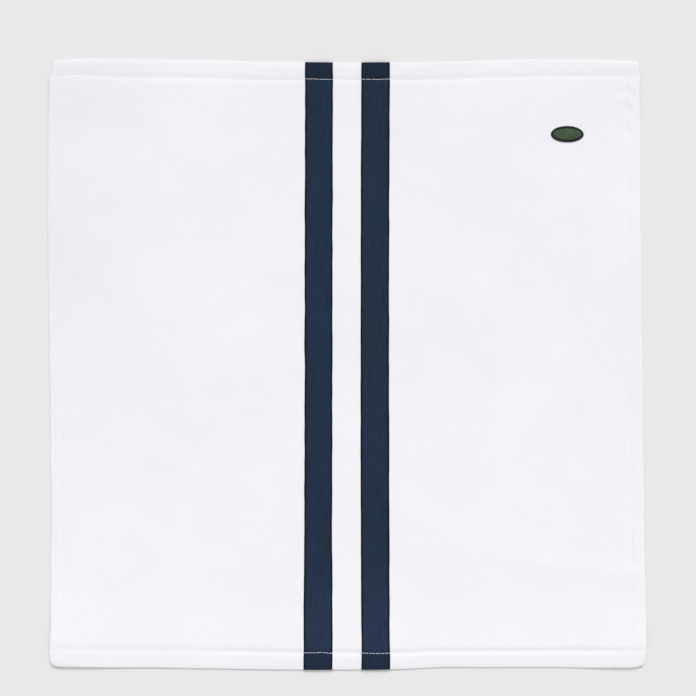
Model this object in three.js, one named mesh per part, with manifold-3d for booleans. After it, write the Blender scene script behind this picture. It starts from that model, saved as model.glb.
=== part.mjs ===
// Tie-on tennis bandana: a hemmed square of white cotton that is rolled and tied as a headband.
// Navy tapes run down its middle, an embroidered badge is sewn near one corner, and a care label
// hangs from the left hem on the back.
// Millimetres. +Z points out of the front face, +Y to the badge end and +X to the badge side.
// The origin lies under the middle of the cloth, on the plane that the bandana rests on.
import * as THREE from 'three';
import { mergeVertices } from 'three/addons/utils/BufferGeometryUtils.js';
import Module from 'manifold-3d';

// Finished cloth
const WIDTH = 534;
const LENGTH = 550;
const CLOTH_THICKNESS = 0.35;

// Hems, turned twice to the back
const END_HEM_DEPTH = 17;
const SIDE_HEM_DEPTH = 12;
const RAW_TURN = 8; // raw edge turned in under the hem
const PLY_GAP = 0.1; // air between the plies of a hem
const HEM_CORNER_GAP = 1; // between a side hem and the inner fold of an end hem

// Tapes, from front to back round both ends
const TAPE_WIDTH = 25;
const TAPE_SPACING = 51; // between the centre lines
const TAPE_PAIR_X = 1.5; // middle of the pair, off the middle of the cloth
const TAPE_THICKNESS = 0.4;
const TAPE_FOLD_GAP = 0.1; // between a fold of the cloth and the tape round it

// Sewing thread
const THREAD_WIDTH = 0.3;
const THREAD_HEIGHT = 0.15;
const HEM_STITCH_INSET = 1.5; // from the hem's inner fold
const TAPE_STITCH_INSET = 1.5; // from the tape's edge
const THREAD_END_GAP = 0.3; // between a thread's end and what it stops at

// Badge, an oval patch
const BADGE_WIDTH = 30;
const BADGE_HEIGHT = 15;
const BADGE_FROM_SIDE = 66; // centre, from the finished edges
const BADGE_FROM_END = 66.5;
const BACKING_THICKNESS = 0.5;
const BORDER_WIDTH = 1.7;
const BORDER_HEIGHT = 0.5;
const EMBROIDERY_HEIGHT = 0.35;
const BADGE_GAP = 0.15; // between neighbouring rings of the badge

// Care label, sewn into the left hem
const LABEL_WIDTH = 20; // along the hem
const LABEL_REACH = 18; // out of the hem
const LABEL_THICKNESS = 0.2;
const LABEL_FROM_END = 51.5; // centre, from the finished end
const LABEL_LIFT = 0.15; // above the resting plane
const LABEL_HEM_GAP = 0.4;

const FOLD_STEPS = 8; // facets of a half-round fold
const OVAL_SEGMENTS = 24;
const GRID = 0.001; // that every vertex lies on

// Heights of the surfaces, from the resting plane up
const HEM_BACK = TAPE_THICKNESS;
const HEM_THICKNESS = 3 * CLOTH_THICKNESS + 2 * PLY_GAP;
const CLOTH_FRONT = HEM_BACK + HEM_THICKNESS;
const CLOTH_BACK = CLOTH_FRONT - CLOTH_THICKNESS;
const TAPE_FRONT = CLOTH_FRONT + TAPE_THICKNESS;

// Radii of the two folds of a hem
const OUTER_FOLD = HEM_THICKNESS / 2;
const INNER_FOLD = CLOTH_THICKNESS + PLY_GAP / 2;

const HALF_WIDTH = WIDTH / 2;
const HALF_LENGTH = LENGTH / 2;

const wasm = await Module();
wasm.setup();

function fabric(color, roughness) {
  return new THREE.MeshStandardMaterial({ color, roughness, metalness: 0 });
}

const whiteCotton = fabric(0xf1f0f5, 0.9);
const navyTape = fabric(0x253344, 0.8);
const whiteThread = fabric(0xf6f5f8, 0.55);
const navyThread = fabric(0x202c40, 0.55);
const whiteTwill = fabric(0xeeedf0, 0.85);
const greenThread = fabric(0x1f4a36, 0.5);
const blackThread = fabric(0x141816, 0.5);
const whiteSatin = fabric(0xf7f7f8, 0.4);

// ---- shapes ----

function extrude(points, depth) {
  const shape = new THREE.Shape(points);
  return new THREE.ExtrudeGeometry(shape, { depth, bevelEnabled: false });
}

// Faces that should lie in one plane share its height exactly once they are on a fine grid.
function onGrid(value) {
  return Math.round(value / GRID) * GRID;
}

// Rewrites every vertex (x, y, z) as map(x, y, z); the maps used here are turns and shifts.
function turned(geometry, map) {
  const place = geometry.attributes.position;
  for (let i = 0; i < place.count; i += 1) {
    const moved = map(place.getX(i), place.getY(i), place.getZ(i));
    place.setXYZ(i, ...moved.map(onGrid));
  }
  return geometry;
}

// A section drawn in (x, z), running along Y.
function alongY(section, from, to) {
  return turned(extrude(section, to - from), (x, y, z) => [x, to - z, y]);
}

// A section drawn in (y, z), running along X.
function alongX(section, from, to) {
  return turned(extrude(section, to - from), (x, y, z) => [from + z, x, y]);
}

function slab(x, y, z) {
  const corners = [[x[0], y[0]], [x[1], y[0]], [x[1], y[1]], [x[0], y[1]]];
  const flat = extrude(corners.map(([u, v]) => new THREE.Vector2(u, v)), z[1] - z[0]);
  return turned(flat, (u, v, height) => [u, v, z[0] + height]);
}

// ---- joins and cuts ----

function solid(geometry) {
  const bare = geometry.clone();
  bare.deleteAttribute('normal');
  bare.deleteAttribute('uv');
  const merged = mergeVertices(bare);
  return new wasm.Manifold(new wasm.Mesh({
    numProp: 3,
    vertProperties: Float32Array.from(merged.attributes.position.array),
    triVerts: Uint32Array.from(merged.index.array),
  }));
}

function join(geometries) {
  return geometries.map(solid).reduce((sum, next) => sum.add(next));
}

function cut(body, geometries) {
  return geometries.map(solid).reduce((rest, tool) => rest.subtract(tool), body);
}

function geometryOf(body) {
  const mesh = body.getMesh();
  const geometry = new THREE.BufferGeometry();
  geometry.setAttribute('position', new THREE.BufferAttribute(mesh.vertProperties, 3));
  geometry.setIndex(new THREE.BufferAttribute(mesh.triVerts, 1));
  geometry.computeVertexNormals();
  return geometry;
}

// ---- folded sections, drawn as (distance in from the finished edge, height) ----

// Points on a circle, from one angle in degrees to another.
function arc(centreIn, centreHeight, radius, from, to) {
  const steps = Math.round((FOLD_STEPS * Math.abs(to - from)) / 180);
  return Array.from({ length: steps + 1 }, (_, i) => {
    const angle = THREE.MathUtils.degToRad(from + ((to - from) * i) / steps);
    return new THREE.Vector2(
      centreIn + radius * Math.cos(angle),
      centreHeight + radius * Math.sin(angle),
    );
  });
}

// One sheet folded round the edge, back to the inner fold and in to its raw edge.
function hemFold(depth) {
  const outerMiddle = HEM_BACK + OUTER_FOLD;
  const innerMiddle = HEM_BACK + INNER_FOLD;
  const innerCentre = depth - INNER_FOLD;
  const rawEdge = depth - RAW_TURN;
  return [
    ...arc(OUTER_FOLD, outerMiddle, OUTER_FOLD, 90, 270),
    ...arc(innerCentre, innerMiddle, INNER_FOLD, -90, 90),
    new THREE.Vector2(rawEdge, innerMiddle + INNER_FOLD),
    new THREE.Vector2(rawEdge, innerMiddle + PLY_GAP / 2),
    ...arc(innerCentre, innerMiddle, PLY_GAP / 2, 90, -90),
    ...arc(OUTER_FOLD, outerMiddle, OUTER_FOLD - CLOTH_THICKNESS, 270, 90),
  ];
}

// The skin of the end hem, lifted off the cloth by rise: from the front, round the edge, and
// along the back as far as reach, or up round the inner fold where no reach is given.
function endSkin(rise, reach) {
  const round = arc(
    OUTER_FOLD - TAPE_FOLD_GAP, HEM_BACK + OUTER_FOLD, OUTER_FOLD + rise, 90, 270,
  );
  if (reach !== undefined) return [...round, new THREE.Vector2(reach, HEM_BACK - rise)];
  const innerCentre = END_HEM_DEPTH - INNER_FOLD + TAPE_FOLD_GAP;
  return [...round, ...arc(innerCentre, HEM_BACK + INNER_FOLD, INNER_FOLD + rise, -90, 0)];
}

// A band that follows the whole length of the cloth and both end hems, between two rises.
function wrappedSection(low, high, reach) {
  const top = (points) => points.map((p) => new THREE.Vector2(HALF_LENGTH - p.x, p.y));
  const bottom = (points) => points.map((p) => new THREE.Vector2(p.x - HALF_LENGTH, p.y));
  const outside = [...top(endSkin(high, reach)).reverse(), ...bottom(endSkin(high, reach))];
  const inside = [...top(endSkin(low, reach)).reverse(), ...bottom(endSkin(low, reach))];
  return [...outside, ...inside.reverse()];
}

// ---- places ----

const tapeCentres = [-1, 1].map((side) => TAPE_PAIR_X + (side * TAPE_SPACING) / 2);
const tapeEdges = tapeCentres.map((x) => [x - TAPE_WIDTH / 2, x + TAPE_WIDTH / 2]);
const endStitchY = HALF_LENGTH - END_HEM_DEPTH + HEM_STITCH_INSET;
const sideStitchX = HALF_WIDTH - SIDE_HEM_DEPTH + HEM_STITCH_INSET;

// The side hems' run, and a thread's run on the back, clear of the tape round the end hems
const middleRunY = HALF_LENGTH - END_HEM_DEPTH - HEM_CORNER_GAP;
const backRunY = HALF_LENGTH - END_HEM_DEPTH - TAPE_FOLD_GAP - TAPE_THICKNESS - THREAD_END_GAP;

function threadSpan(centre) {
  return [centre - THREAD_WIDTH / 2, centre + THREAD_WIDTH / 2];
}

// ---- cloth ----

// The single ply and both side hems, between the end hems.
function middleRun() {
  const placed = (side) => (
    hemFold(SIDE_HEM_DEPTH).map((p) => new THREE.Vector2(side * (HALF_WIDTH - p.x), p.y))
  );
  return alongY([...placed(1), ...placed(-1).reverse()], -middleRunY, middleRunY);
}

function endHem(end) {
  const placed = hemFold(END_HEM_DEPTH).map((p) => (
    new THREE.Vector2(end * (HALF_LENGTH - p.x), p.y)
  ));
  const ply = [CLOTH_BACK, CLOTH_FRONT].map((z) => new THREE.Vector2(end * middleRunY, z));
  return alongX([...placed, ...ply], -HALF_WIDTH, HALF_WIDTH);
}

function sideNeedleRun(side, top) {
  const run = HALF_LENGTH - OUTER_FOLD - THREAD_END_GAP;
  return slab(threadSpan(side * sideStitchX), [-run, run], [CLOTH_FRONT - THREAD_HEIGHT, top]);
}

function clothPanel() {
  const grooves = [-1, 1].map((side) => sideNeedleRun(side, CLOTH_FRONT + THREAD_HEIGHT));
  return geometryOf(cut(join([middleRun(), endHem(-1), endHem(1)]), grooves));
}

// ---- tapes and the threads along their edges ----

function tapeStitchLines([left, right]) {
  return [left + TAPE_STITCH_INSET, right - TAPE_STITCH_INSET];
}

// Lies flush in the tape, and stops short of the hem's own stitches on the back.
function tapeNeedleRun(x, high) {
  const reach = END_HEM_DEPTH - HEM_STITCH_INSET - THREAD_WIDTH / 2 - THREAD_END_GAP;
  return alongX(wrappedSection(TAPE_THICKNESS - THREAD_HEIGHT, high, reach), ...threadSpan(x));
}

function tapeBobbinRun(x) {
  return slab(threadSpan(x), [-backRunY, backRunY], [CLOTH_BACK - THREAD_HEIGHT, CLOTH_BACK]);
}

function tape(edges) {
  const whole = solid(alongX(wrappedSection(0, TAPE_THICKNESS), ...edges));
  const edgeGrooves = tapeStitchLines(edges).map((x) => (
    tapeNeedleRun(x, TAPE_THICKNESS + THREAD_HEIGHT)
  ));
  const hemGrooves = [-1, 1].map((end) => (
    slab(edges, threadSpan(end * endStitchY), [-THREAD_HEIGHT, THREAD_HEIGHT])
  ));
  return geometryOf(cut(whole, [...edgeGrooves, ...hemGrooves]));
}

// ---- threads of the hems ----

// A thread across the cloth, as (x, height) points that step over each tape.
function steppedLine(onCloth, onTape, step) {
  const rises = tapeEdges.flatMap(([left, right]) => [
    new THREE.Vector2(left - step, onCloth),
    new THREE.Vector2(left - step, onTape),
    new THREE.Vector2(right + step, onTape),
    new THREE.Vector2(right + step, onCloth),
  ]);
  const end = HALF_WIDTH - THREAD_END_GAP;
  return [new THREE.Vector2(-end, onCloth), ...rises, new THREE.Vector2(end, onCloth)];
}

function endNeedleThread(end) {
  const under = steppedLine(CLOTH_FRONT, TAPE_FRONT, 0);
  const over = steppedLine(CLOTH_FRONT + THREAD_HEIGHT, TAPE_FRONT + THREAD_HEIGHT, THREAD_HEIGHT);
  return alongY([...under, ...over.reverse()], ...threadSpan(end * endStitchY));
}

// Lies on the back of the hem, and flush in the tapes where they wrap over it.
function endBobbinThread(end) {
  const inside = steppedLine(HEM_BACK, THREAD_HEIGHT, 0);
  const outside = steppedLine(HEM_BACK - THREAD_HEIGHT, 0, THREAD_HEIGHT);
  return alongY([...inside, ...outside.reverse()], ...threadSpan(end * endStitchY));
}

function sideBobbinThread(side) {
  const x = threadSpan(side * sideStitchX);
  return slab(x, [-middleRunY, middleRunY], [HEM_BACK - THREAD_HEIGHT, HEM_BACK]);
}

// ---- badge ----

// An oval plate, or a ring where inset and width leave a hole, standing on a height.
function oval(inset, width, low, high) {
  const rx = BADGE_WIDTH / 2 - inset;
  const ry = BADGE_HEIGHT / 2 - inset;
  const shape = new THREE.Shape().absellipse(0, 0, rx, ry, 0, 2 * Math.PI);
  if (width < ry) {
    shape.holes.push(new THREE.Path().absellipse(0, 0, rx - width, ry - width, 0, 2 * Math.PI));
  }
  const options = { depth: high - low, bevelEnabled: false, curveSegments: OVAL_SEGMENTS };
  return new THREE.ExtrudeGeometry(shape, options).translate(0, 0, low);
}

function badgePieces() {
  const base = CLOTH_FRONT + BACKING_THICKNESS;
  const edge = THREAD_WIDTH + BADGE_GAP;
  return [
    ['badge_backing', oval(edge, Infinity, CLOTH_FRONT, base), whiteTwill],
    ['badge_border', oval(edge, BORDER_WIDTH, base, base + BORDER_HEIGHT), blackThread],
    [
      'badge_embroidery',
      oval(edge + BORDER_WIDTH + BADGE_GAP, Infinity, base, base + EMBROIDERY_HEIGHT),
      greenThread,
    ],
    [
      'badge_edge_stitching',
      oval(0, THREAD_WIDTH, CLOTH_FRONT, CLOTH_FRONT + THREAD_HEIGHT),
      whiteThread,
    ],
  ];
}

// ---- care label ----

function careLabel() {
  const hemFold = SIDE_HEM_DEPTH - HALF_WIDTH;
  const start = hemFold + LABEL_HEM_GAP;
  const middle = HALF_LENGTH - LABEL_FROM_END;
  return slab(
    [start, start + LABEL_REACH],
    [middle - LABEL_WIDTH / 2, middle + LABEL_WIDTH / 2],
    [LABEL_LIFT, LABEL_LIFT + LABEL_THICKNESS],
  );
}

// ---- assembly ----

const bandana = new THREE.Group();

function add(parent, name, geometry, material) {
  const mesh = new THREE.Mesh(geometry, material);
  mesh.name = name;
  parent.add(mesh);
}

add(bandana, 'cloth_panel', clothPanel(), whiteCotton);

tapeEdges.forEach((edges, i) => {
  const side = ['left', 'right'][i];
  add(bandana, `${side}_stripe_tape`, tape(edges), navyTape);
  tapeStitchLines(edges).forEach((x, line) => {
    const seam = `${side}_tape_${['left', 'right'][line]}_seam`;
    add(bandana, `${seam}_needle_thread`, tapeNeedleRun(x, TAPE_THICKNESS), navyThread);
    add(bandana, `${seam}_bobbin_thread`, tapeBobbinRun(x), navyThread);
  });
});

[['bottom', -1], ['top', 1]].forEach(([name, end]) => {
  add(bandana, `${name}_hem_needle_thread`, endNeedleThread(end), whiteThread);
  add(bandana, `${name}_hem_bobbin_thread`, endBobbinThread(end), whiteThread);
});

[['left', -1], ['right', 1]].forEach(([name, side]) => {
  add(bandana, `${name}_hem_needle_thread`, sideNeedleRun(side, CLOTH_FRONT), whiteThread);
  add(bandana, `${name}_hem_bobbin_thread`, sideBobbinThread(side), whiteThread);
});

const badge = new THREE.Group();
badge.position.set(HALF_WIDTH - BADGE_FROM_SIDE, HALF_LENGTH - BADGE_FROM_END, 0);
badgePieces().forEach(([name, geometry, material]) => add(badge, name, geometry, material));
bandana.add(badge);

add(bandana, 'care_label', careLabel(), whiteSatin);

export default bandana;
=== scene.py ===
"""A tie-on tennis bandana, laid flat and face up on a pale studio floor.

Everything sewn into the cloth is worked out on one sheet: flat places (x, y) on the finished
bandana go through fold(), height() and place(), so cloth, tapes, threads and badge stay together.
Lengths are in metres, in the frame of the CAD model: +Z out of the front face, +Y to the badge end.
"""
import math

import bmesh
import bpy
import numpy as np
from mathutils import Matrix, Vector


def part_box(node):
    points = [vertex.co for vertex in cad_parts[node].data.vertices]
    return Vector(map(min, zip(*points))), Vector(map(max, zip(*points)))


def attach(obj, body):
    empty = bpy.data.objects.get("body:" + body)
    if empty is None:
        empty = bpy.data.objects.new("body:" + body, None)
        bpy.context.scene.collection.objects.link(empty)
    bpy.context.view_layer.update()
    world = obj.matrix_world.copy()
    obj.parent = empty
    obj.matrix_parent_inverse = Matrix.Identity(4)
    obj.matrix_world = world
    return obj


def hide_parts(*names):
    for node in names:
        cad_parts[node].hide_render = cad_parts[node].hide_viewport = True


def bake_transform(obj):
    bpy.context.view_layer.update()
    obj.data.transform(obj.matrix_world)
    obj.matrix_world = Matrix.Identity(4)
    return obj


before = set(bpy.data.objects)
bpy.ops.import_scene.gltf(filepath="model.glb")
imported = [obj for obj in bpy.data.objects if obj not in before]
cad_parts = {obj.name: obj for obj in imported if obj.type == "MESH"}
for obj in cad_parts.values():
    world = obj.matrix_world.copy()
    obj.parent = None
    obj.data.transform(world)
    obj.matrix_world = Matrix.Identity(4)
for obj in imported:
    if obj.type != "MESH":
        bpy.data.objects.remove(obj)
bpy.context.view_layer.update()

MM = 0.001

# ---------------------------------------------------------------- sizes, from the frame


def span(node, axis):
    low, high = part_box(node)
    return low[axis], high[axis]


def middle(node, axis):
    return sum(span(node, axis)) / 2


HALF_WIDTH = span("cloth_panel", 0)[1]
HALF_LENGTH = span("cloth_panel", 1)[1]
STITCH_TO_FOLD = 1.5 * MM  # from a hem's inner fold out to its stitches
END_DEPTH = HALF_LENGTH - middle("top_hem_bobbin_thread", 1) + STITCH_TO_FOLD
SIDE_DEPTH = HALF_WIDTH - middle("right_hem_bobbin_thread", 0) + STITCH_TO_FOLD
RAW_TURN = 8 * MM  # raw edge turned in under a hem

TAPES = ("left", "right")
TAPE_X = [middle(f"{side}_stripe_tape", 0) for side in TAPES]
TAPE_WIDTH = span("left_stripe_tape", 0)[1] - span("left_stripe_tape", 0)[0]
TAPE_STITCH_INSET = 1.5 * MM

CLOTH = 0.25 * MM
PLY_GAP = 0.09 * MM
TAPE = 0.36 * MM
TAPE_LIFT = 0.02 * MM  # air between a tape and the cloth
SEAM_GROOVE = 0.4 * MM  # depth of the valley that an end hem's stitches draw
SIDE_GROOVE_SHARE = 0.6  # of that depth, in a side hem
END_GROOVE_WIDTH = 2.3 * MM
SIDE_GROOVE_WIDTH = 2.0 * MM
SIDE_OUTER = (3 * CLOTH + 2 * PLY_GAP) / 2  # radius of a side hem's outer fold
SIDE_INNER = (2 * CLOTH + PLY_GAP) / 2
CORNER_PRESS = 0.18  # how much thinner a side hem is where an end hem holds it
RAMP = 55 * MM  # over which the single ply climbs onto a hem

BADGE_X = middle("badge_backing", 0)
BADGE_Y = middle("badge_backing", 1)
LABEL_Y = middle("care_label", 1)
LABEL_WIDTH = span("care_label", 1)[1] - span("care_label", 1)[0]
LABEL_X = span("care_label", 0)  # from the hinge line to the free end

# ---------------------------------------------------------------- helpers


def smooth(low, high, value):
    """An even step from 0 at low to 1 at high."""
    t = np.clip((value - low) / (high - low), 0, 1)
    return t * t * (3 - 2 * t)


def bump(value, width):
    """1 at 0, about a third at width, and fading to 0 beyond."""
    return np.exp(-((value / width) ** 2))


def waves(x, y, seed, shortest, longest, count=14):
    """A smooth uneven field of about unit size, from waves of mixed length and direction."""
    draw = np.random.default_rng(seed)
    total = 0
    for _ in range(count):
        length = draw.uniform(shortest, longest)
        way = draw.uniform(0, 2 * math.pi)
        phase = draw.uniform(0, 2 * math.pi)
        total = total + np.sin(
            2 * math.pi * (x * math.cos(way) + y * math.sin(way)) / length + phase
        )
    return total / math.sqrt(count / 2)


# ---------------------------------------------------------------- the laid cloth


def tape_wander(side, y):
    """How far a tape's middle lies off its nominal line, as it was sewn."""
    t = y / HALF_LENGTH
    if side == 0:
        return (-0.3 + 0.45 * t) * MM
    return (-0.35 + 0.8 * t * t) * MM


def tape_spread(side, y):
    """How wide a tape lies, as a share of its nominal width."""
    if side == 0:
        return 1.006 + 0.04 * smooth(-0.5 * HALF_LENGTH, -0.85 * HALF_LENGTH, y)
    return 1.03 + 0 * y


def tape_cover(x, end):
    """1 where a tape lies on the cloth at one end, 0 elsewhere."""
    total = 0
    for side, centre in enumerate(TAPE_X):
        off = np.abs(x - centre - tape_wander(side, end * HALF_LENGTH))
        total = total + 1 - smooth(TAPE_WIDTH / 2, TAPE_WIDTH / 2 + 1.6 * MM, off)
    return total


def side_share(x):
    """0 on the single ply, 1 on a side hem."""
    inward = HALF_WIDTH - np.abs(x)
    return 1 - smooth(SIDE_DEPTH, SIDE_DEPTH + RAMP, inward)


def end_depth(x, end):
    """Depth of an end hem, which was turned a little unevenly."""
    t = x / HALF_WIDTH  # from left -1 to right 1
    if_top = (0.1 - 2.1 * t * t - 0.8 * t - 1.6 * smooth(0.82, 0.95, -t)) * MM
    if_bottom = (2.4 * t * t - 1.2 + 1.7 * bump(t + 0.35, 0.5)) * MM
    return END_DEPTH + np.where(end > 0, if_top, if_bottom)


def stack(x):
    """Thickness of the cloth, with a side hem where there is one."""
    return CLOTH + 2 * (CLOTH + PLY_GAP) * side_share(x)


def end_radii(x, end):
    """Outer and inner fold radii of an end hem, and the tape's thickness on it."""
    above = (TAPE + TAPE_LIFT) * tape_cover(x, end)
    whole = stack(x) * (1 - CORNER_PRESS * side_share(x)) + above
    return (3 * whole + 2 * PLY_GAP) / 2, (2 * whole + PLY_GAP) / 2, above


def end_share(x, y):
    """0 on the open cloth, 1 on an end hem."""
    end = np.sign(y)
    inward = HALF_LENGTH - np.abs(y)
    depth = end_depth(x, end)
    return 1 - smooth(depth, depth + RAMP, inward)


def height(x, y):
    """Height of the cloth's front face over the floor, before it is shaped by wear."""
    outer, _, above = end_radii(x, np.sign(y))
    return stack(x) + end_share(x, y) * (2 * outer - above - stack(x))


def from_end_seam(x, y):
    """Distance in from the stitch line of an end hem."""
    return HALF_LENGTH - np.abs(y) - end_depth(x, np.sign(y)) + STITCH_TO_FOLD


def end_seam(x, y):
    """1 on the stitch line of an end hem, less near a corner, 0 away from the line."""
    near_corner = smooth(0.84, 0.97, np.abs(x) / HALF_WIDTH)
    return bump(from_end_seam(x, y), END_GROOVE_WIDTH) * (1 - 0.45 * near_corner)


def side_seam(x):
    """1 on the stitch line of a side hem, 0 away from it."""
    return bump(HALF_WIDTH - np.abs(x) - SIDE_DEPTH + STITCH_TO_FOLD, SIDE_GROOVE_WIDTH)


GATHER = 0.3  # mm high
GATHER_WIDTH = 11 * MM


def gathered(x, y):
    """The puff on both sides of the bottom seam, sewn a little tight but for its left end."""
    tight = np.where(y < 0, GATHER * smooth(-0.6, -0.1, x / HALF_WIDTH), 0.0)
    return tight * MM * (bump(from_end_seam(x, y), GATHER_WIDTH) - end_seam(x, y))


def ridge(x, y, start, finish, tall, wide):
    """A soft crease between two points, with everything in millimetres but x and y."""
    start, finish = np.array(start) * MM, np.array(finish) * MM
    run = finish - start
    length = np.linalg.norm(run)
    along = ((x - start[0]) * run[0] + (y - start[1]) * run[1]) / length
    across = ((y - start[1]) * run[0] - (x - start[0]) * run[1]) / length
    ends = smooth(-0.25 * length, 0.2 * length, along)
    ends = ends * (1 - smooth(0.8 * length, 1.25 * length, along))
    return tall * MM * bump(across, wide * MM) * ends


SIDE_PUCKER, END_PUCKER = 0.15, 0.04  # mm high
SIDE_PUCKER_PITCH, END_PUCKER_PITCH = 14.5 * MM, 15 * MM


def puckers(x, y):
    """Small gathers beside the stitch lines, deepest towards the right."""
    from_side = HALF_WIDTH - np.abs(x) - SIDE_DEPTH
    from_end = HALF_LENGTH - np.abs(y) - END_DEPTH
    strength = 0.75 + 0.45 * waves(x, y, 71, 60 * MM, 160 * MM)
    side_phase = 2 * math.pi * (y + 0.7 * np.abs(from_side)) / SIDE_PUCKER_PITCH
    along_side = np.sin(side_phase + 1.6 * waves(x, y, 72, 70 * MM, 150 * MM))
    end_phase = 2 * math.pi * (x + 0.6 * np.abs(from_end)) / END_PUCKER_PITCH
    along_end = np.sin(end_phase + 1.6 * waves(x, y, 73, 70 * MM, 150 * MM))
    beside_side = bump(from_side + 2 * MM, 7 * MM) * (1 - smooth(-2 * MM, 4 * MM, -from_end))
    beside_side = beside_side * (0.25 + 0.75 * smooth(0, HALF_WIDTH, x))
    beside_end = bump(from_end - 1 * MM, 6 * MM)
    at_sides = SIDE_PUCKER * beside_side * along_side
    at_ends = END_PUCKER * beside_end * along_end
    return strength * (at_sides + at_ends) * MM


SWELL, RUMPLE, CRINKLE = 0.45, 0.06, 0.01  # mm high, from the broadest to the finest
EDGE_PRESS = 0.15  # mm less swell along an edge
CORNER_SAG = 0.7  # share of the lift lost at the bottom edge, on the right
MEAN_LIFT = 0.16  # mm
LEAST_LIFT = 0.02 * MM
FLOOR_GAP = 0.14 * MM
CREASES = [  # from and to, height and width, in mm
    ((150, -176), (266, -192), 0.55, 11),
    ((206, -203), (262, -216), 0.2, 6),
    ((-263, 235.5), (-242, 235), 0.26, 2.6),
    ((-263, 216), (-253, 213.5), 0.26, 2.6),
]


def relief(x, y):
    """How the cloth stands off the floor: swells, rumples, creases, puckers and gathers."""
    swell = 0.5 + 0.5 * np.tanh(waves(x, y, 11, 90 * MM, 260 * MM))
    rumple = waves(x, y, 12, 28 * MM, 75 * MM)
    crinkle = waves(x, y, 13, 14 * MM, 26 * MM, 24)
    edge = bump(HALF_WIDTH - np.abs(x), 45 * MM) + bump(HALF_LENGTH - np.abs(y), 45 * MM)
    lift = (SWELL - EDGE_PRESS * edge) * MM * swell
    lift = lift + (RUMPLE * rumple + CRINKLE * crinkle + MEAN_LIFT) * MM
    sag = CORNER_SAG * smooth(-0.2, 0.3, x / HALF_WIDTH) * bump(HALF_LENGTH + y, 22 * MM)
    lift = lift * (1 - sag)
    for start, finish, tall, wide in CREASES:
        lift = lift + ridge(x, y, start, finish, tall, wide)
    return np.maximum(lift + puckers(x, y), LEAST_LIFT) + gathered(x, y) + FLOOR_GAP


# Steps in an end edge, as mm up, and the shares of the half width where each starts and stops.
TOP_TO_LEFT = [(2.8, 0.05, 0.75), (-1.4, 0.88, 1)]
TOP_TO_RIGHT = [(2.4, 0.22, 0.62), (-0.7, 0.75, 0.85), (-0.9, 0.85, 0.97)]
BOTTOM_TO_LEFT = [(2.3, 0.15, 0.75), (0.5, 0.85, 1)]
BOTTOM_TO_RIGHT = [(2.4, 0.05, 0.35), (-0.6, 0.7, 0.85), (1.0, 0.93, 1)]


def add_steps(total, share, steps):
    for tall, start, stop in steps:
        total = total + tall * smooth(start, stop, share)
    return total


def end_stray(u, end):
    """How far an end edge strays in y, in mm, from left -1 to right 1."""
    top = add_steps(add_steps(0, -u, TOP_TO_LEFT) - 0.4, u, TOP_TO_RIGHT)
    bottom = add_steps(add_steps(0, -u, BOTTOM_TO_LEFT), u, BOTTOM_TO_RIGHT)
    return np.where(end > 0, top, bottom)


CORNER_REACH = 9 * MM  # from a corner's edges to where its rounding starts
TOP_LEFT, TOP_RIGHT, BOTTOM_LEFT, BOTTOM_RIGHT = 0.8, 1.0, 2.0, 1.7  # mm drawn in


def corner_rounding(x, y):
    """How much a corner is drawn in, in mm, the same way in x and in y."""
    near_x = np.clip(1 - (HALF_WIDTH - np.abs(x)) / CORNER_REACH, 0, 1)
    near_y = np.clip(1 - (HALF_LENGTH - np.abs(y)) / CORNER_REACH, 0, 1)
    left, top = x < 0, y > 0
    at_corner = [TOP_LEFT, BOTTOM_LEFT, TOP_RIGHT]
    amount = np.select([left & top, left, top], at_corner, BOTTOM_RIGHT)
    return amount * (near_x * near_y) ** 1.5


def warp(x, y):
    """How far the laid outline strays in the plane from a true rectangle, worked out in mm."""
    u, v = x / HALF_WIDTH, y / HALF_LENGTH
    left, right = np.clip(-u, 0, 1) ** 2, np.clip(u, 0, 1) ** 2
    bow = (-0.6 - 1.6 * np.sin(2 * math.pi * y / (570 * MM))) * left
    flare = (1.5 - 3.2 * v + 0.8 * v * v) * right
    in_hem = smooth(0.944, 0.968, np.abs(v))
    tuck = in_hem * smooth(0.93, 1, -u) * np.where(v > 0, 3.1, 0.3)
    tuck = tuck - in_hem * smooth(0.93, 1, u) * np.where(v > 0, 0.6, 1.2)
    round_off = corner_rounding(x, y)
    ragged = bump(1 - np.abs(u), 0.12) * waves(x, y, 31, 35 * MM, 110 * MM)
    uneven = bump(1 - np.abs(v), 0.12) * waves(x, y, 32, 35 * MM, 110 * MM)
    across = bow + flare + tuck + 0.14 * ragged - np.sign(x) * round_off
    along = end_stray(u, v) * v * v + 0.12 * uneven - np.sign(y) * round_off
    return across * MM, along * MM


STILL_LEVEL = 0.35  # of the way up a stack: the level that stitches leave where it is


def squeeze(z, low, high, groove):
    """Draws a stack of plies together, as a line of stitches does, to leave a groove on top."""
    still = low + STILL_LEVEL * (high - low)
    return z - groove * (z - still) / (high - still)


def place(x, y, z):
    """Moves points of the neat folded sheet, in the plane and in height, to where they lie."""
    outer, _, above = end_radii(x, np.sign(y))
    top = height(x, y)
    z = squeeze(z, top + above - 2 * outer, top, SEAM_GROOVE * end_seam(x, y))
    beside_end = smooth(0.4, 0.0, end_share(x, y))
    groove = SIDE_GROOVE_SHARE * SEAM_GROOVE * side_seam(x) * beside_end
    z = squeeze(z, top - 2 * SIDE_OUTER, top, groove)
    across, along = warp(x, y)
    return np.stack([x + across, y + along, z + relief(x, y)], axis=-1)


def front(x, y, lift=0.0):
    """Points on the cloth's front face, or lifted off it."""
    return place(x, y, height(x, y) + lift)


# ---------------------------------------------------------------- folding

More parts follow.
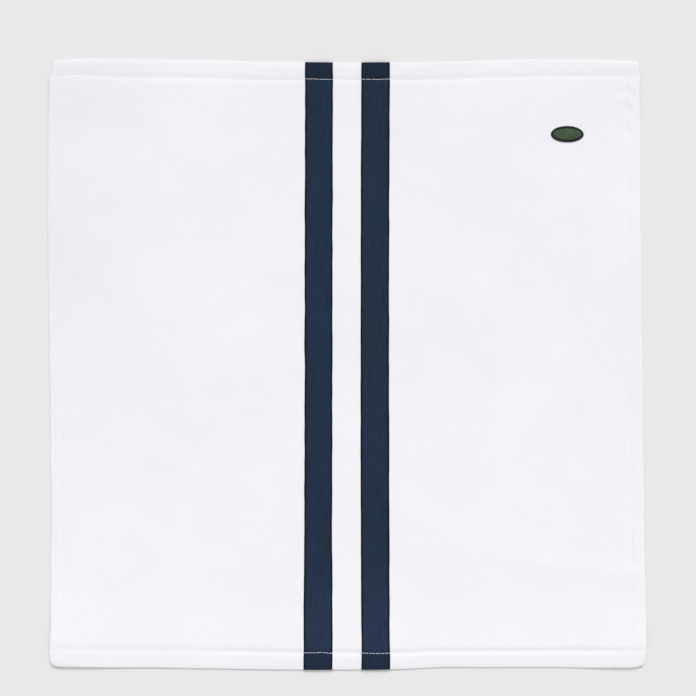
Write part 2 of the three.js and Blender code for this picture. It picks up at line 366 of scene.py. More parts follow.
# Places along a hem, as leg + share of the leg: 0 the front ply, from the open cloth out to the
# edge, 1 the outer fold, 2 the back ply, 3 the inner fold, 4 the turned-in ply.
LEG_STEPS = (17, 6, 4, 4, 2)
HEM_REACH = 26 * MM  # how far in from the edge the first leg starts
SEAM_STEP = 0.22  # spacing of the first leg's points at the stitch line, as a share of even
CROWDING = 0.25  # how much closer the open cloth's points stand towards the hems


def hem_places():
    return np.concatenate(
        [leg + np.arange(steps) / steps for leg, steps in enumerate(LEG_STEPS)] + [[5.0]]
    )


def fold(at, depth, outer, inner, offset):
    """Distance in from the edge and depth below the stack's outer skin, along a hem.

    offset is how far a point lies outside that skin, so it is negative inside the stack.
    """
    leg = np.clip(np.floor(at), 0, 4)
    t = at - leg
    seam = depth - STITCH_TO_FOLD
    away = 1 - 2 * t
    reach = np.where(away > 0, HEM_REACH - seam, seam - outer)
    ply = seam + reach * (SEAM_STEP * away + (1 - SEAM_STEP) * away**3)
    turn = math.pi * t
    raw = depth - RAW_TURN
    inward = np.select(
        [leg == 0, leg == 1, leg == 2, leg == 3],
        [
            ply,
            outer - (outer + offset) * np.sin(turn),
            outer + (depth - inner - outer) * t,
            depth - inner + (inner + offset) * np.sin(turn),
        ],
        depth - inner + (raw - depth + inner) * t,
    )
    down = np.select(
        [leg == 0, leg == 1, leg == 2, leg == 3],
        [
            -offset + 0 * t,
            outer - (outer + offset) * np.cos(turn),
            2 * outer + offset,
            2 * outer - inner + (inner + offset) * np.cos(turn),
        ],
        2 * outer - 2 * inner - offset,
    )
    return inward, down


def line_places(half, open_steps):
    """Places right across a sheet, as (side, at, coordinate): side 0 is the open middle."""
    hem = hem_places()
    left = [(-1, at, 0.0) for at in hem[::-1]]
    right = [(1, at, 0.0) for at in hem]
    inner = half - HEM_REACH
    even = np.linspace(-1, 1, open_steps + 1)[1:-1]
    closer = inner * ((1 + CROWDING) * even - CROWDING * even**3)
    centre = [(0, 0.0, c) for c in closer]
    return np.array(left + centre + right)


def along_end(x, offset, rows):
    """Takes a column of the sheet, side-folded to x and offset, through the end folds."""
    end, at, open_y = rows[:, 0], rows[:, 1], rows[:, 2]
    sign = np.where(end == 0, np.sign(open_y), end)
    outer, inner, above = end_radii(x, sign)
    held = np.where(end == 0, 0.0, smooth(0.0, 0.5, at))
    offset = offset * (1 - CORNER_PRESS * side_share(x) * held * (offset < 0))
    inward, down = fold(at, end_depth(x, sign), outer, inner, offset - above)
    y = np.where(end == 0, open_y, sign * (HALF_LENGTH - inward))
    down = np.where(end == 0, above - offset, down)
    return y, height(x, y) + above - down


def folded(columns, rows, offset):
    """The whole sheet on a grid of columns across and rows along, at one offset off the front."""
    side, at, open_x = columns[:, None, 0], columns[:, None, 1], columns[:, None, 2]
    inward, down = fold(at, SIDE_DEPTH, SIDE_OUTER, SIDE_INNER, offset)
    x = np.where(side == 0, open_x, side * (HALF_WIDTH - inward))
    down = np.where(side == 0, -offset, down)
    shape = (len(columns), len(rows))
    x, down = np.broadcast_to(x, shape), np.broadcast_to(down, shape)
    y, z = along_end(x, -down, rows)
    return place(x, y, z)


# ---------------------------------------------------------------- meshes


def mesh_object(name, points, faces, material, uv=None):
    mesh = bpy.data.meshes.new(name)
    mesh.from_pydata(np.asarray(points).reshape(-1, 3).tolist(), [], faces)
    mesh.materials.append(material)
    mesh.polygons.foreach_set("use_smooth", [True] * len(mesh.polygons))
    if uv is not None:
        layer = mesh.uv_layers.new(name="flat")
        corners = np.zeros(len(mesh.loops), int)
        mesh.loops.foreach_get("vertex_index", corners)
        layer.data.foreach_set("uv", np.asarray(uv).reshape(-1, 2)[corners].ravel())
    mesh.update()
    obj = bpy.data.objects.new(name, mesh)
    bpy.context.scene.collection.objects.link(obj)
    return obj


def grid_faces(columns, rows, start=0, flip=False, wrap=False):
    """Quads of a grid of points stored column by column."""
    faces = []
    for i in range(columns if wrap else columns - 1):
        for j in range(rows - 1):
            a = start + i * rows + j
            b = start + (i + 1) % columns * rows + j
            quad = (a, b, b + 1, a + 1)
            faces.append(quad[::-1] if flip else quad)
    return faces


def two_skins(outer, inner):
    """One closed sheet from its two skins, each (columns, rows, 3)."""
    columns, rows = outer.shape[:2]
    count = columns * rows
    faces = grid_faces(columns, rows) + grid_faces(columns, rows, count, flip=True)
    rim = [i * rows for i in range(columns)]
    rim += [(columns - 1) * rows + j for j in range(1, rows)]
    rim += [i * rows + rows - 1 for i in range(columns - 2, -1, -1)]
    rim += list(range(rows - 2, 0, -1))
    for a, b in zip(rim, rim[1:] + rim[:1]):
        faces.append((b, a, a + count, b + count))
    return np.concatenate([outer.reshape(-1, 3), inner.reshape(-1, 3)]), faces


def tubes(paths, ups, radii, sides=6):
    """Closed bars, round across, along many paths: paths (n, steps, 3), radii (n, steps)."""
    count, steps = paths.shape[:2]
    ahead = np.gradient(paths, axis=1)
    ahead /= np.linalg.norm(ahead, axis=2, keepdims=True)
    across = np.cross(ahead, ups)
    across /= np.linalg.norm(across, axis=2, keepdims=True)
    upward = np.cross(across, ahead)
    angles = 2 * math.pi * np.arange(sides) / sides
    ring = (np.cos(angles)[:, None] * across[:, :, None, :]
            + np.sin(angles)[:, None] * upward[:, :, None, :])
    points = paths[:, :, None, :] + radii[:, :, None, None] * ring
    faces = []
    for n in range(count):
        base = n * steps * sides
        for i in range(steps - 1):
            for k in range(sides):
                a, b = base + i * sides + k, base + i * sides + (k + 1) % sides
                faces.append((a, b, b + sides, a + sides))
        faces.append(tuple(base + k for k in range(sides))[::-1])
        faces.append(tuple(base + (steps - 1) * sides + k for k in range(sides)))
    return points.reshape(-1, 3), faces


# ---------------------------------------------------------------- materials


class Nodes:
    """Short names for building a Principled material."""

    def __init__(self, name, roughness, sheen=0.0, sheen_roughness=0.5):
        self.material = bpy.data.materials.new(name)
        self.material.use_nodes = True
        self.tree = self.material.node_tree
        self.shader = self.tree.nodes["Principled BSDF"]
        self.shader.inputs["Roughness"].default_value = roughness
        self.shader.inputs["Sheen Weight"].default_value = sheen
        self.shader.inputs["Sheen Roughness"].default_value = sheen_roughness
        self.shader.inputs["Specular IOR Level"].default_value = 0.25

    def add(self, kind, **settings):
        node = self.tree.nodes.new(kind)
        for key, value in settings.items():
            setattr(node, key, value)
        return node

    def join(self, out, into):
        self.tree.links.new(out, into)

    def feed(self, socket, value):
        if isinstance(value, (int, float, tuple, list)):
            socket.default_value = value
        else:
            self.join(value, socket)

    def math(self, operation, a, b=0.0, c=0.0):
        node = self.add("ShaderNodeMath", operation=operation)
        for socket, value in zip(node.inputs, (a, b, c)):
            self.feed(socket, value)
        return node.outputs[0]

    def clamped(self, value):
        node = self.add("ShaderNodeClamp")
        self.join(value, node.inputs[0])
        return node.outputs[0]

    def coordinate(self, scale, uv=True):
        """Scaled metres, of the flat pattern or of the object."""
        if uv:
            source = self.add("ShaderNodeUVMap", uv_map="flat").outputs[0]
        else:
            source = self.add("ShaderNodeTexCoord").outputs["Object"]
        mapping = self.add("ShaderNodeMapping")
        self.join(source, mapping.inputs["Vector"])
        mapping.inputs["Scale"].default_value = scale
        return mapping.outputs[0]

    def flat(self):
        """The flat pattern's x and y."""
        split = self.add("ShaderNodeSeparateXYZ")
        self.join(self.add("ShaderNodeUVMap", uv_map="flat").outputs[0], split.inputs[0])
        return split.outputs[0], split.outputs[1]

    def noise(self, vector, detail=2.0, roughness=0.5):
        """Uneven patches: the vector's scale is how many there are to a metre."""
        node = self.add("ShaderNodeTexNoise")
        self.join(vector, node.inputs["Vector"])
        node.inputs["Scale"].default_value = 1.0
        node.inputs["Detail"].default_value = detail
        node.inputs["Roughness"].default_value = roughness
        return node.outputs["Fac"]

    def wave(self, vector, direction, distortion=0.0):
        node = self.add("ShaderNodeTexWave", bands_direction=direction)
        self.join(vector, node.inputs["Vector"])
        node.inputs["Scale"].default_value = 1.0
        node.inputs["Distortion"].default_value = distortion
        node.inputs["Detail"].default_value = 1.0
        return node.outputs["Fac"]

    def ramp(self, fac, stops):
        node = self.add("ShaderNodeValToRGB")
        self.join(fac, node.inputs[0])
        while len(node.color_ramp.elements) < len(stops):
            node.color_ramp.elements.new(0.5)
        for element, (position, colour) in zip(node.color_ramp.elements, stops):
            element.position = position
            element.color = (*colour, 1)
        return node.outputs[0]

    def mix(self, fac, a, b, blend="MIX"):
        node = self.add("ShaderNodeMix", data_type="RGBA", blend_type=blend)
        self.feed(node.inputs[0], fac)
        self.feed(node.inputs[6], a if not isinstance(a, tuple) else (*a, 1))
        self.feed(node.inputs[7], b if not isinstance(b, tuple) else (*b, 1))
        return node.outputs[2]

    def colour(self, value):
        self.join(value, self.shader.inputs["Base Color"])

    def bump(self, fac, distance, strength=1.0, under=None):
        node = self.add("ShaderNodeBump")
        node.inputs["Distance"].default_value = distance
        node.inputs["Strength"].default_value = strength
        self.join(fac, node.inputs["Height"])
        if under is not None:
            self.join(under, node.inputs["Normal"])
        self.join(node.outputs[0], self.shader.inputs["Normal"])
        return node.outputs[0]


def linear(*srgb):
    """A colour given as 0 to 255, for a shader."""
    shares = [v / 255 for v in srgb]
    return tuple(s / 12.92 if s <= 0.04045 else ((s + 0.055) / 1.055) ** 2.4 for s in shares)


# One turn of a wave texture at scale 1 takes this much of its coordinate.
WAVE_TURN = math.pi / 10


def plain_weave(n, pitch):
    """Over-and-under yarns, as a height from 0 to 1."""
    scale = WAVE_TURN / pitch
    threads = n.coordinate((scale, scale, scale))
    warp_yarn = n.wave(threads, "X", 0.6)
    weft_yarn = n.wave(threads, "Y", 0.6)
    half = n.coordinate((scale / 2, scale / 2, scale / 2))
    over = n.math("MULTIPLY", n.math("SUBTRACT", n.wave(half, "X"), 0.5),
                  n.math("SUBTRACT", n.wave(half, "Y"), 0.5))
    chosen = n.math("GREATER_THAN", over, 0.0)
    return n.math("ADD", n.math("MULTIPLY", warp_yarn, chosen),
                  n.math("MULTIPLY", weft_yarn, n.math("SUBTRACT", 1.0, chosen)))


COTTON_YARN = 0.34 * MM  # from one yarn to the next
TAPE_YARN = 0.4 * MM
TAPE_RIB = 0.55 * MM
TWILL_RIB = 0.5 * MM
THREAD_TWIST = 0.3 * MM
SHADED_EDGE = 1.9 * MM  # width of a tape's darker edge, with its blend: painted shade where the rolled edge turns down
SHADED_EDGE_BLEND = 0.9 * MM


def in_end_hem(n, y):
    """1 on the cloth of an end hem, from just inside its stitch line outward, 0 elsewhere."""
    past = n.math("SUBTRACT", n.math("ABSOLUTE", y), HALF_LENGTH - END_DEPTH + 0.5 * MM)
    return n.clamped(n.math("DIVIDE", past, 0.8 * MM))


def cotton():
    n = Nodes("white cotton", roughness=0.92, sheen=0.06, sheen_roughness=0.6)
    slub_across = n.noise(n.coordinate((60, 1500, 1)), 3, 0.6)
    slub_along = n.noise(n.coordinate((1500, 60, 1)), 3, 0.6)
    slubs = n.math("MULTIPLY", n.math("ADD", slub_across, slub_along), 0.5)
    cloud = n.noise(n.coordinate((9, 9, 1)), 3, 0.55)
    tone = n.ramp(cloud, [(0.3, linear(243, 242, 247)), (0.7, linear(248, 247, 252))])
    x, y = n.flat()
    # Painted shade: the cloth is darker towards its left edge, over its upper part.
    past = n.math("SUBTRACT", -0.6 * HALF_WIDTH, x)
    painted_shade_left = n.clamped(n.math("DIVIDE", past, 0.3 * HALF_WIDTH))
    painted_shade_left = n.math("MULTIPLY", painted_shade_left, n.clamped(n.math("MULTIPLY_ADD", y, 5.0, 0.7)))
    tone = n.mix(n.math("MULTIPLY", painted_shade_left, 0.5), tone, linear(237, 236, 241))
    # Painted light: the cloth is lighter towards its bottom end.
    to_bottom = n.clamped(n.math("DIVIDE", y, -HALF_LENGTH))
    tone = n.mix(n.math("MULTIPLY", to_bottom, 0.5), tone, linear(252, 251, 255))
    tone = n.mix(n.math("MULTIPLY", in_end_hem(n, y), 0.13), tone, linear(237, 236, 241))
    yarn = n.ramp(slubs, [(0.35, linear(240, 239, 244)), (0.65, linear(255, 255, 254))])
    n.colour(n.mix(0.35, tone, yarn, "MULTIPLY"))
    weave = n.bump(plain_weave(n, COTTON_YARN), 0.05 * MM, 0.5)
    n.bump(slubs, 0.09 * MM, 0.5, under=weave)
    return n.material


def tape_cloth():
    n = Nodes("navy tape", roughness=0.9, sheen=0.03, sheen_roughness=0.4)
    n.shader.inputs["Specular IOR Level"].default_value = 0.1
    bands = n.noise(n.coordinate((22, 7, 1), uv=False), 2, 0.5)
    tone = n.ramp(bands, [
        (0.3, linear(33, 49, 64)),
        (0.5, linear(35, 50, 70)),
        (0.7, linear(38, 51, 77)),
    ])
    x, y = n.flat()
    to_bottom = n.clamped(n.math("MULTIPLY_ADD", y, -4 / HALF_LENGTH, -2.4))
    tone = n.mix(n.math("MULTIPLY", to_bottom, 0.7), tone, linear(44, 57, 84))
    # Painted shade: the tape darkens towards both of its rolled edges.
    shaded_edge = n.math("SUBTRACT", n.math("ABSOLUTE", x), TAPE_WIDTH / 2 - SHADED_EDGE)
    shaded_edge = n.math("DIVIDE", shaded_edge, SHADED_EDGE_BLEND)
    tone = n.mix(n.clamped(shaded_edge), tone, linear(12, 19, 35))
    tone = n.mix(n.math("MULTIPLY", in_end_hem(n, y), 0.45), tone, linear(22, 32, 46))
    lines = n.noise(n.coordinate((1400, 40, 1)), 3, 0.6)
    lines = n.ramp(lines, [(0.3, (0.72, 0.72, 0.74)), (0.7, (1.2, 1.2, 1.2))])
    n.colour(n.mix(1.0, tone, lines, "MULTIPLY"))
    ribs = n.wave(n.coordinate((0, WAVE_TURN / TAPE_RIB, 0)), "Y")
    first = n.bump(ribs, 0.06 * MM, 0.8)
    n.bump(plain_weave(n, TAPE_YARN), 0.05 * MM, 0.6, under=first)
    return n.material


def thread(name, rgb, roughness=0.5, sheen=0.2, shade=0.88, patch=(2500, 2500, 2500)):
    """Twisted thread, with fuzz in patches between its colour and shade times that colour."""
    n = Nodes(name, roughness=roughness, sheen=sheen, sheen_roughness=0.35)
    plies = n.wave(n.coordinate((1, 1, 1), uv=False), "DIAGONAL")
    plies.node.inputs["Scale"].default_value = WAVE_TURN / THREAD_TWIST
    fuzz = n.noise(n.coordinate(patch, uv=False), 2)
    dark = tuple(c * shade for c in linear(*rgb))
    tone = n.ramp(fuzz, [(0.25, dark), (0.7, linear(*rgb))])
    n.colour(tone)
    n.bump(plies, 0.05 * MM, 0.6)
    return n.material


def twill():
    n = Nodes("white twill", roughness=0.85, sheen=0.1)
    ribs = n.wave(n.coordinate((1, 1, 1), uv=False), "DIAGONAL")
    ribs.node.inputs["Scale"].default_value = WAVE_TURN / TWILL_RIB
    # Painted shade: darker in the valleys between the ribs, lighter on their crests.
    n.colour(n.ramp(ribs, [(0.0, linear(222, 221, 226)), (1.0, linear(243, 242, 246))]))
    n.bump(ribs, 0.08 * MM, 0.7)
    return n.material


def satin():
    n = Nodes("white satin", roughness=0.42, sheen=0.05)
    floats = n.noise(n.coordinate((200, 4200, 1)), 2, 0.5)
    n.colour(n.ramp(floats, [(0.3, linear(244, 244, 246)), (0.7, linear(250, 250, 251))]))
    n.bump(floats, 0.02 * MM, 0.3)
    return n.material


def studio_floor():
    n = Nodes("studio floor", roughness=0.95)
    n.shader.inputs["Specular IOR Level"].default_value = 0.0
    grain = n.noise(n.coordinate((4, 4, 4), uv=False), 2)
    n.colour(n.ramp(grain, [(0.0, linear(232, 232, 232)), (1.0, linear(233, 233, 233))]))
    return n.material


# ---------------------------------------------------------------- camera, light and floor


LENS, SENSOR = 85, 36  # mm
VIEW_WIDTH = 630 * MM  # of the floor
VIEW_MIDDLE = (2.4 * MM, 16.2 * MM)
SURROUND_LIGHT = 0.645
LAMP_POWER = 1.8
LAMP_SPREAD = 24  # degrees
LAMP_TILT = (-50, 12)  # degrees about x and y
FLOOR_REACH = 20.0


def camera():
    """Straight down on the cloth, which lies a little low and left in the picture."""
    data = bpy.data.cameras.new("camera")
    data.lens, data.sensor_width = LENS, SENSOR
    obj = bpy.data.objects.new("camera", data)
    obj.location = (*VIEW_MIDDLE, VIEW_WIDTH * data.lens / data.sensor_width)
    bpy.context.scene.collection.objects.link(obj)
    bpy.context.scene.camera = obj


def studio():
    """Even soft light from all round and a broad soft lamp above the far end."""
    world = bpy.data.worlds.new("studio")
    bpy.context.scene.world = world
    world.use_nodes = True
    background = world.node_tree.nodes["Background"]
    background.inputs["Color"].default_value = (1, 1, 1, 1)
    background.inputs["Strength"].default_value = SURROUND_LIGHT
    lamp = bpy.data.lights.new("key", "SUN")
    lamp.energy = LAMP_POWER
    lamp.angle = math.radians(LAMP_SPREAD)
    key = bpy.data.objects.new("key", lamp)
    key.rotation_euler = (math.radians(LAMP_TILT[0]), math.radians(LAMP_TILT[1]), 0)
    bpy.context.scene.collection.objects.link(key)
    view = bpy.context.scene.view_settings
    view.view_transform = "Standard"
    far = FLOOR_REACH
    corners = [(-far, -far, 0), (far, -far, 0), (far, far, 0), (-far, far, 0)]
    floor = mesh_object("floor", corners, [(0, 1, 2, 3)], studio_floor())


# ---------------------------------------------------------------- pieces of cloth

OPEN_STEPS = 148  # grid steps of the cloth between its hems, each way; a tape has twice as many


def sheet_uv(columns, rows):
    """Flat pattern coordinates of a grid, in metres, once for each skin."""
    def run(places, half, depth):
        side, at, coordinate = places[:, 0], places[:, 1], places[:, 2]
        inward, _ = fold(at, depth, SIDE_OUTER, SIDE_INNER, 0.0)
        turned = np.interp(at, [1, 2, 3, 4, 5], [
            half - SIDE_OUTER, half + 1 * MM, half + depth, half + depth + 1 * MM,
            half + depth + RAW_TURN,
        ])
        out = np.where(at < 1, half - inward, turned)
        return np.where(side == 0, coordinate, side * out)
    u = run(columns, HALF_WIDTH, SIDE_DEPTH)
    v = run(rows, HALF_LENGTH, END_DEPTH)
    grid = np.stack(np.meshgrid(u, v, indexing="ij"), axis=-1).reshape(-1, 2)
    return np.concatenate([grid, grid])


def cloth_panel():
    columns = line_places(HALF_WIDTH, OPEN_STEPS)
    rows = line_places(HALF_LENGTH, OPEN_STEPS)
    points, faces = two_skins(folded(columns, rows, 0.0), folded(columns, rows, -CLOTH))
    panel = mesh_object("bandana_cloth", points, faces, cotton(), sheet_uv(columns, rows))
    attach(panel, "bandana")
    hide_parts("cloth_panel")


def tape_section():
    """Points round a tape, as (across, lift): along the top and back underneath."""
    half = TAPE_WIDTH / 2
    across = half * np.sin(np.linspace(-math.pi / 2, math.pi / 2, 19))
    thin = 0.45 * bump(half - np.abs(across), 0.5 * MM)
    seams = 0.2 * bump(half - np.abs(across) - TAPE_STITCH_INSET, 0.7 * MM)
    top = [(a, TAPE_LIFT + TAPE * (1 - s)) for a, s in zip(across, thin + seams)]
    under = [(a, TAPE_LIFT) for a in across[::-3]]
    return top + under


def tape(side):
    """A woven tape on the front of the cloth, folded with it into both end hems."""
    name = TAPES[side]
    rows = line_places(HALF_LENGTH, 2 * OPEN_STEPS)
    inward, _ = fold(rows[:, 1], END_DEPTH, SIDE_OUTER, SIDE_INNER, 0.0)
    y_flat = np.where(rows[:, 0] == 0, rows[:, 2], rows[:, 0] * (HALF_LENGTH - inward))
    section = tape_section()
    skins = []
    for across, lift in section:
        edge = 0.1 * MM * waves(np.sign(across) + 0 * y_flat, y_flat, 51 + side, 15 * MM, 60 * MM)
        x = TAPE_X[side] + tape_wander(side, y_flat) + across * tape_spread(side, y_flat) + edge
        y, z = along_end(x, lift, rows)
        skins.append(place(x, y, z))
    points = np.stack(skins)
    columns, count = len(section), len(rows)
    faces = grid_faces(columns, count, wrap=True)
    faces.append(tuple(i * count for i in range(columns)))
    faces.append(tuple(i * count + count - 1 for i in range(columns))[::-1])
    run = sheet_uv(np.array([(0, 0, a) for a, _ in section]), rows)[: columns * count]
    obj = mesh_object(f"{name}_tape", points, faces, tape_cloth(), run)
    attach(obj, "bandana")
    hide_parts(f"{name}_stripe_tape")


# ---------------------------------------------------------------- stitching

STITCH_PITCH = 2.8 * MM
STITCH_SHARE = 0.88  # of the pitch that shows between two needle holes
HEM_THREAD = 0.23 * MM  # radius
TAPE_THREAD = 0.15 * MM  # radius
STITCH_STEPS = 7
SHORT_OF_EDGE = 1.2 * MM  # where a row of stitches ends


def stitches(name, node, material, start, finish, spot, face=1, thick=HEM_THREAD):
    """A row of lockstitches from start to finish; spot(s, lift) gives points along the row."""
    count = int((finish - start) / STITCH_PITCH)
    draw = np.random.default_rng(len(name) * 97 + int(abs(start) * 1e4))
    first = start + (finish - start - count * STITCH_PITCH) / 2
    w = np.linspace(0, 1, STITCH_STEPS)
    begin = first + STITCH_PITCH * (np.arange(count) + (1 - STITCH_SHARE) / 2)
    begin = begin + draw.uniform(-0.08, 0.08, count) * STITCH_PITCH
    s = begin[:, None] + w * STITCH_PITCH * STITCH_SHARE
    arch = -1.2 + 1.65 * np.sin(math.pi * w) ** 0.55  # in radii: down into both holes
    lift = thick * arch * (1 + draw.uniform(-0.12, 0.12, count)[:, None])
    paths = spot(s, face * lift)
    slant = draw.uniform(-0.06, 0.06, count)[:, None] * MM * (2 * w - 1)
    paths[..., 0] += slant
    paths[..., 1] += slant
    radii = thick * (0.72 + 0.28 * np.sin(math.pi * w) ** 0.5) * np.ones((count, 1))
    ups = np.broadcast_to(np.array([0.0, 0.0, face]), paths.shape)
    points, faces = tubes(paths, ups, radii)
    obj = mesh_object(name, points, faces, material)
    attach(obj, "bandana")
    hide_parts(node)
    return obj


def over_tapes(x, end):
    return (TAPE + TAPE_LIFT) * tape_cover(x, end)


def end_hem_stitches(name, end, material):
    def line(x):
        wobble = 0.2 * MM * waves(x, 0 * x, 90 + end, 14 * MM, 40 * MM)
        return end * (HALF_LENGTH - end_depth(x, end) + STITCH_TO_FOLD) + wobble

    def on_front(x, lift):
        return front(x, line(x), over_tapes(x, end) + lift)

    def on_back(x, lift):
        outer, _, above = end_radii(x, end)
        return place(x, line(x), height(x, line(x)) + above - 2 * outer + lift)

    reach = HALF_WIDTH - SHORT_OF_EDGE
    for kind, spot, face in (("needle", on_front, 1), ("bobbin", on_back, -1)):
        stitches(f"{name}_hem_{kind}_stitches", f"{name}_hem_{kind}_thread",
                 material, -reach, reach, spot, face)


def side_hem_stitches(name, side, material):
    x = side * (HALF_WIDTH - SIDE_DEPTH + STITCH_TO_FOLD)

    def on_front(y, lift):
        return front(x + 0 * y, y, lift)

    def on_back(y, lift):
        line = x + 0 * y
        return place(line, y, height(line, y) - 2 * SIDE_OUTER + lift)

    reach = HALF_LENGTH - SHORT_OF_EDGE
    stitches(f"{name}_hem_needle_stitches", f"{name}_hem_needle_thread",
             material, -reach, reach, on_front)
    reach = HALF_LENGTH - END_DEPTH - 2 * MM
    stitches(f"{name}_hem_bobbin_stitches", f"{name}_hem_bobbin_thread",
             material, -reach, reach, on_back, -1)


def tape_stitches(side, line, material):
    name = f"{TAPES[side]}_tape_{TAPES[line]}_seam"
    inset = (2 * line - 1) * (TAPE_WIDTH / 2 - TAPE_STITCH_INSET)

    def across(y):
        return TAPE_X[side] + tape_wander(side, y) + inset * tape_spread(side, y)

    def on_front(y, lift):
        return front(across(y), y, TAPE_LIFT + 0.8 * TAPE + lift)

    def on_back(y, lift):
        return front(across(y), y, lift - CLOTH)

    reach = HALF_LENGTH - SHORT_OF_EDGE
    stitches(f"{name}_needle_stitches", f"{name}_needle_thread",
             material, -reach, reach, on_front, 1, TAPE_THREAD)
    reach = HALF_LENGTH - END_DEPTH - 2.5 * MM
    stitches(f"{name}_bobbin_stitches", f"{name}_bobbin_thread",
             material, -reach, reach, on_back, -1, TAPE_THREAD)


def all_stitches():
    white = thread("white sewing thread", (246, 246, 253), shade=0.94)
    navy = thread("navy sewing thread", (24, 34, 54), sheen=0.04)
    for name, end in (("bottom", -1), ("top", 1)):
        end_hem_stitches(name, end, white)
    for name, side in (("left", -1), ("right", 1)):
        side_hem_stitches(name, side, white)
    for side in (0, 1):
        for line in (0, 1):
            tape_stitches(side, line, navy)


# ---------------------------------------------------------------- badge

BADGE = span("badge_backing", 0)[1] - BADGE_X, span("badge_backing", 1)[1] - BADGE_Y
FACE = span("badge_embroidery", 0)[1] - BADGE_X, span("badge_embroidery", 1)[1] - BADGE_Y
PATCH = 0.4 * MM  # thickness of the backing
SATIN_PITCH = 0.306 * MM  # from one satin thread to the next
SATIN_THREAD = 0.2 * MM  # radius
RIM_STITCHES = 168
RIM_THREAD = 0.24 * MM  # radius
TACKS = 92
TACK_THREAD = 0.13 * MM  # radius


def on_badge(x, y, lift):
    """Points over the badge's own middle, riding on the cloth."""
    return front(BADGE_X + x, BADGE_Y + y, lift)


def oval_ring(radii, angle):
    return radii[0] * np.cos(angle), radii[1] * np.sin(angle)


def badge_patch():
    """The backing twill, slightly crowned, with a soft edge."""
    rings = [(0.0, 1.0), (0.45, 1.0), (0.8, 1.0), (0.96, 0.95), (1.0, 0.6), (1.0, 0.1)]
    angle = np.linspace(0, 2 * math.pi, 97)[:-1]
    fray = 1 + 0.006 * np.sin(23 * angle) + 0.004 * np.sin(57 * angle + 1)
    skins = []
    for share, tall in rings + [(0.9, 0.05), (0.0, 0.05)]:
        x, y = oval_ring(BADGE, angle)
        skins.append(on_badge(x * share * fray, y * share * fray, PATCH * tall))
    points = np.stack(skins).transpose(1, 0, 2)
    faces = grid_faces(len(angle), len(skins), flip=True, wrap=True)
    obj = mesh_object("badge_patch", points, faces, twill())
    clean(obj)
    finish_badge(obj, "badge_backing")


def clean(obj):
    """Merges the points that meet at the middle of a round piece."""
    work = bmesh.new()
    work.from_mesh(obj.data)
    bmesh.ops.remove_doubles(work, verts=work.verts, dist=1e-6)
    bmesh.ops.dissolve_degenerate(work, edges=work.edges, dist=1e-7)
    bmesh.ops.recalc_face_normals(work, faces=work.faces)
    work.to_mesh(obj.data)
    work.free()


def finish_badge(obj, node):
    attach(obj, "bandana")
    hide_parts(node)


def satin_face():
    """Satin-stitched oval: three fields of thread, parted by two curved seams as on a ball."""
    draw = np.random.default_rng(5)
    paths, radii = [], []
    wide, tall = FACE[0] + 0.7 * MM, FACE[1] + 0.5 * MM  # the ends go under the rim
    for x in np.arange(-wide, wide, SATIN_PITCH):
        half = tall * math.sqrt(max(0.0, 1 - (x / wide) ** 2))
        if half < 0.6 * MM:
            continue
        w = np.linspace(-1, 1, 11)
        y = half * w * (1 - 0.02 * draw.random())
        lean = 0.9 * MM * w * np.sign(x) * smooth(0.3, 0.6, abs(x) / FACE[0])
        dome = 0.34 * MM * np.sqrt(np.clip(1 - w**2, 0, 1)) * (half / tall) ** 0.5
        jitter = draw.uniform(-0.03, 0.03) * MM
        seam = bump(np.abs(x + lean) - 0.52 * FACE[0] + 1.6 * MM * w**2, 0.35 * MM)
        lift = PATCH + 0.05 * MM + dome - 0.14 * MM * seam + jitter
        paths.append(on_badge(x + lean + jitter, y, lift))
        radii.append(np.full(11, SATIN_THREAD))
    paths = np.stack(paths)
    ups = np.broadcast_to(np.array([0.0, 0.0, 1.0]), paths.shape)
    points, faces = tubes(paths, ups, np.stack(radii), 8)
    green = thread("green embroidery", (82, 104, 76), sheen=0.15, shade=0.3,
                   patch=(950, 110, 110))
    obj = mesh_object("badge_satin_face", points, faces, green)
    finish_badge(obj, "badge_embroidery")


def merrowed_rim():
    """Close overlock stitches that wrap the edge of the patch."""
    draw = np.random.default_rng(6)
    angle = 2 * math.pi * np.arange(RIM_STITCHES) / RIM_STITCHES
    angle = angle + draw.uniform(-0.004, 0.004, RIM_STITCHES)
    w = np.linspace(0, 1, 9)
    inner = (FACE[0] - 0.1 * MM, FACE[1] - 0.1 * MM)
    outer = (BADGE[0] + 0.12 * MM, BADGE[1] + 0.12 * MM)
    skew = 0.03 * w
    share = 0.5 - 0.5 * np.cos(math.pi * w)
    cos, sin = np.cos(angle[:, None] + skew), np.sin(angle[:, None] + skew)
    x = (inner[0] + (outer[0] - inner[0]) * share) * cos
    y = (inner[1] + (outer[1] - inner[1]) * share) * sin
    arch = PATCH * (1 - smooth(0.75, 1.0, w)) + 0.42 * MM * np.sin(math.pi * w) ** 0.6
    lift = arch + draw.uniform(-0.02, 0.02, (RIM_STITCHES, 1)) * MM
    paths = on_badge(x, y, lift)
    ups = np.broadcast_to(np.array([0.0, 0.0, 1.0]), paths.shape)
    radii = np.full(paths.shape[:2], RIM_THREAD)
    points, faces = tubes(paths, ups, radii, 8)
    dark = thread("dark rim thread", (24, 30, 25), roughness=0.5, sheen=0.1)
    obj = mesh_object("badge_rim", points, faces, dark)
    finish_badge(obj, "badge_border")


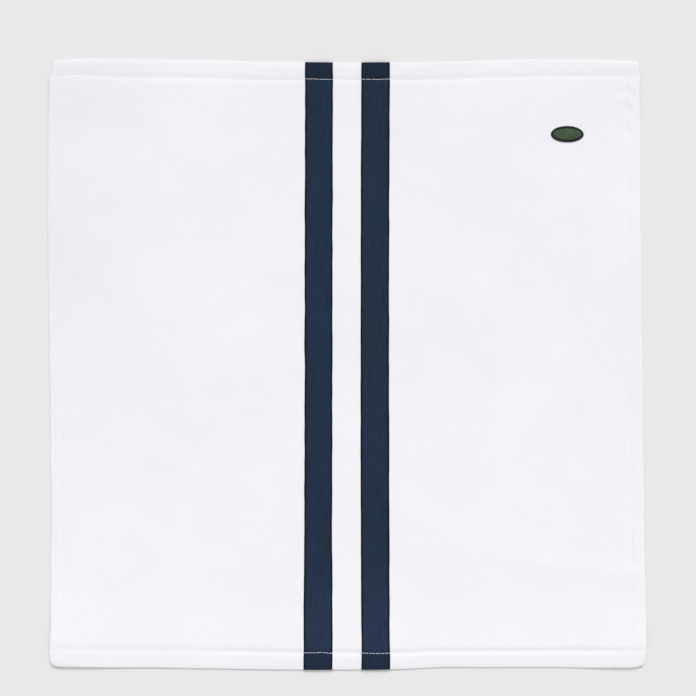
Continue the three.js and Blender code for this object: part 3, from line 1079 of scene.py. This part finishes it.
def badge_tacks():
    """Short white stitches that hold the patch on the cloth all the way round."""
    draw = np.random.default_rng(7)
    turn = np.arange(TACKS)
    angle = 2 * math.pi * turn / TACKS + draw.uniform(-0.01, 0.01, TACKS)
    w = np.linspace(0, 1, 7)
    zig = np.where(turn % 2 == 0, 1, -1)[:, None] * 0.03 * (w - 0.5)
    cos, sin = np.cos(angle[:, None] + zig), np.sin(angle[:, None] + zig)
    reach = -0.15 * MM + 0.75 * MM * w
    x, y = (BADGE[0] + reach) * cos, (BADGE[1] + reach) * sin
    lift = 0.3 * MM * (1 - w) + 0.1 * MM * np.sin(math.pi * w) - 0.06 * MM * w
    paths = on_badge(x, y, lift)
    ups = np.broadcast_to(np.array([0.0, 0.0, 1.0]), paths.shape)
    points, faces = tubes(paths, ups, np.full(paths.shape[:2], TACK_THREAD))
    obj = mesh_object("badge_tack_stitches", points, faces,
                      thread("badge tack thread", (240, 240, 243)))
    finish_badge(obj, "badge_edge_stitching")


# ---------------------------------------------------------------- care label


LABEL = 0.12 * MM  # thickness
LABEL_LIP = 0.6 * MM  # from the hinge line in towards the hem
LABEL_DROP = 0.22 * MM  # from the cloth's back down to the label's lower face, at least
LABEL_HIGHEST = 0.25 * MM  # of that face, over the floor
LABEL_LOWEST = 0.05 * MM


def care_label():
    """A blank satin label, hinged where it leaves the left hem and lying under the cloth."""
    hinge = LABEL_X[0]
    x = np.linspace(hinge - LABEL_LIP, LABEL_X[1], 24)
    y = np.linspace(LABEL_Y - LABEL_WIDTH / 2, LABEL_Y + LABEL_WIDTH / 2, 22)
    grid_x, grid_y = np.meshgrid(x, y, indexing="ij")
    share = (grid_x - hinge) / (LABEL_X[1] - hinge)
    curl = 0.05 * MM * np.sin(3 * share + 2 * (grid_y - LABEL_Y) / LABEL_WIDTH)
    low = front(grid_x, grid_y, -CLOTH)
    low[..., 2] = np.minimum(low[..., 2] - LABEL_DROP, LABEL_HIGHEST + curl)
    low[..., 2] = np.maximum(low[..., 2], LABEL_LOWEST)
    high = low.copy()
    high[..., 2] += LABEL
    points, faces = two_skins(high, low)
    flat = np.stack([grid_x, grid_y], axis=-1).reshape(-1, 2)
    obj = mesh_object("blank_care_label", points, faces, satin(), np.concatenate([flat, flat]))
    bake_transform(obj)
    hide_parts("care_label")


# ---------------------------------------------------------------- the scene

camera()
studio()
cloth_panel()
for tape_side in (0, 1):
    tape(tape_side)
all_stitches()
badge_patch()
satin_face()
merrowed_rim()
badge_tacks()
care_label()
